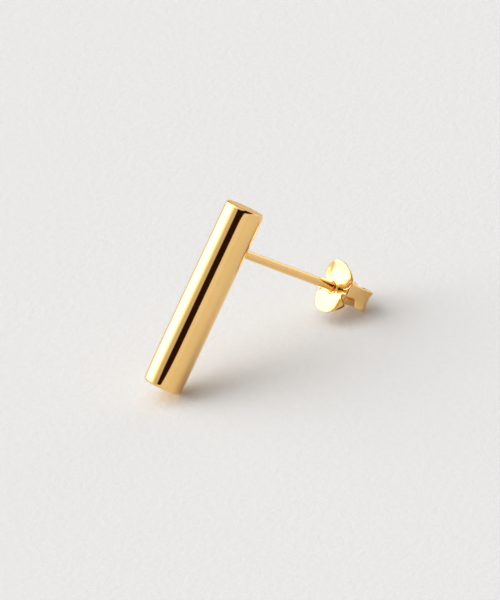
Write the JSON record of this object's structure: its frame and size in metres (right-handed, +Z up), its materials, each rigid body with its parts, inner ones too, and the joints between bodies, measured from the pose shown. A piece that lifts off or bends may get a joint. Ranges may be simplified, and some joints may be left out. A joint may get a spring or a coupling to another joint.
{
  "type": "bar earring",
  "caption": "Stud earring with a plain round bar, a straight post soldered to its back, and a push-on friction clutch of curled sheet metal on the post.",
  "frame": {"origin": "on the floor, at the middle of the box round the resting earring", "axes": "+Z up. The bar lies in the XZ plane with its foot at the -X end and leans up towards +X. The post runs down towards +X, and the clutch is at the +X end"},
  "size_m": [0.0196, 0.0036, 0.0131],
  "materials": {
    "bar_metal": "polished gold plate",
    "clutch_metal": "polished gold plate"
  },
  "bodies": {
    "bar": {"bar_and_post": "bar_metal"},
    "clutch": {"clutch": "clutch_metal"}
  },
  "joints": [
    {"name": "clutch_slide", "type": "slide", "parent": "bar", "child": "clutch", "axis": [0.7417, 0, -0.6707], "range_m": [-0.0085, 0.003]}
  ]
}
